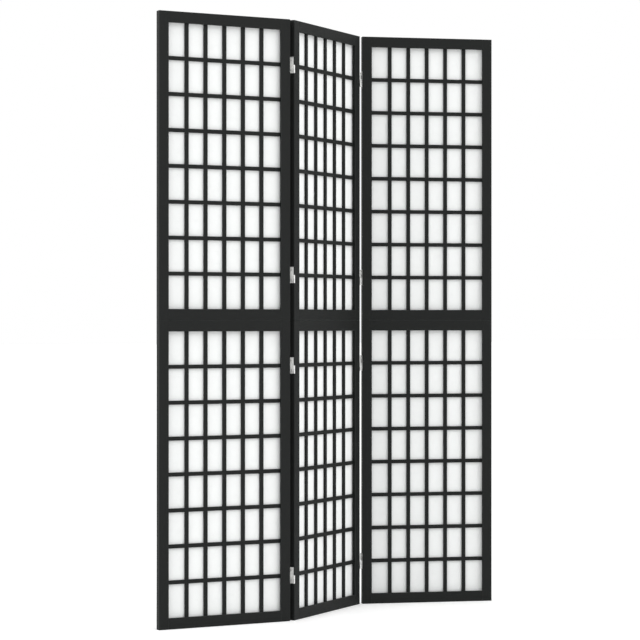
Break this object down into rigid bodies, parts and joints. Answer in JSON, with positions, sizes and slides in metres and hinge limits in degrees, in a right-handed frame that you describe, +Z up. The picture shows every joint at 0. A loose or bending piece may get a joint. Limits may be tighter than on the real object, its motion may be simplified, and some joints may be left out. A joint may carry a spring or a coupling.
{
  "type": "shoji folding screen",
  "caption": "Free-standing folding screen: hinged wooden panels in a zigzag, each a frame round a fine square-cut lattice backed with white paper.",
  "frame": {"origin": "bottom centre of the box round the whole screen as it stands in the picture", "axes": "+Z up; +X along the line through the two outer ends, from the left panel to the right one; -Y towards the front, the side that shows the lattice"},
  "size_m": [1.1504, 0.215, 1.7],
  "materials": {
    "frame_wood": "black stained, satin",
    "lattice_wood": "black stained, satin",
    "plain_wood": "bare, sawn",
    "paper": "white fibrous paper, matt",
    "hinge_steel": "nickel plated, satin"
  },
  "bodies": {
    "middle_panel": {"left_hinge_middle_leaves": "hinge_steel", "middle_lower_bottom_rail": "frame_wood", "middle_lower_lattice_crossbars": "lattice_wood", "middle_lower_lattice_uprights": "lattice_wood", "middle_lower_left_stile": "frame_wood", "middle_lower_paper": "paper", "middle_lower_right_stile": "frame_wood", "middle_lower_top_rail": "frame_wood", "middle_seam_tongues": "plain_wood", "middle_upper_bottom_rail": "frame_wood", "middle_upper_lattice_crossbars": "lattice_wood", "middle_upper_lattice_uprights": "lattice_wood", "middle_upper_left_stile": "frame_wood", "middle_upper_paper": "paper", "middle_upper_right_stile": "frame_wood", "middle_upper_top_rail": "frame_wood", "right_hinge_middle_leaves": "hinge_steel"},
    "left_links": {"left_hinge_links": "hinge_steel", "left_hinge_pins": "hinge_steel"},
    "left_panel": {"left_lower_bottom_rail": "frame_wood", "left_lower_lattice_crossbars": "lattice_wood", "left_lower_lattice_uprights": "lattice_wood", "left_lower_left_stile": "frame_wood", "left_lower_paper": "paper", "left_lower_right_stile": "frame_wood", "left_lower_top_rail": "frame_wood", "left_seam_tongues": "plain_wood", "left_upper_bottom_rail": "frame_wood", "left_upper_lattice_crossbars": "lattice_wood", "left_upper_lattice_uprights": "lattice_wood", "left_upper_left_stile": "frame_wood", "left_upper_paper": "paper", "left_upper_right_stile": "frame_wood", "left_upper_top_rail": "frame_wood", "left_hinge_outer_leaves": "hinge_steel"},
    "right_links": {"right_hinge_links": "hinge_steel", "right_hinge_pins": "hinge_steel"},
    "right_panel": {"right_lower_bottom_rail": "frame_wood", "right_lower_lattice_crossbars": "lattice_wood", "right_lower_lattice_uprights": "lattice_wood", "right_lower_left_stile": "frame_wood", "right_lower_paper": "paper", "right_lower_right_stile": "frame_wood", "right_lower_top_rail": "frame_wood", "right_seam_tongues": "plain_wood", "right_upper_bottom_rail": "frame_wood", "right_upper_lattice_crossbars": "lattice_wood", "right_upper_lattice_uprights": "lattice_wood", "right_upper_left_stile": "frame_wood", "right_upper_paper": "paper", "right_upper_right_stile": "frame_wood", "right_upper_top_rail": "frame_wood", "right_hinge_outer_leaves": "hinge_steel"}
  },
  "joints": [
    {"name": "left_front_fold", "type": "hinge", "parent": "middle_panel", "child": "left_links", "pos_m": [-0.1632, -0.10548, 0.85], "axis": [0, 0, 1], "range_deg": [0, 90]},
    {"name": "left_back_fold", "type": "hinge", "parent": "left_links", "child": "left_panel", "pos_m": [-0.17307, -0.0874, 0.85], "axis": [0, 0, -1], "range_deg": [-34.6, 145.4]},
    {"name": "right_front_fold", "type": "hinge", "parent": "middle_panel", "child": "right_links", "pos_m": [0.19203, 0.0882, 0.85], "axis": [0, 0, -1], "range_deg": [-61.6, 118.4]},
    {"name": "right_back_fold", "type": "hinge", "parent": "right_links", "child": "right_panel", "pos_m": [0.20325, 0.10547, 0.85], "axis": [0, 0, 1], "range_deg": [-10.8, 79.2]}
  ]
}
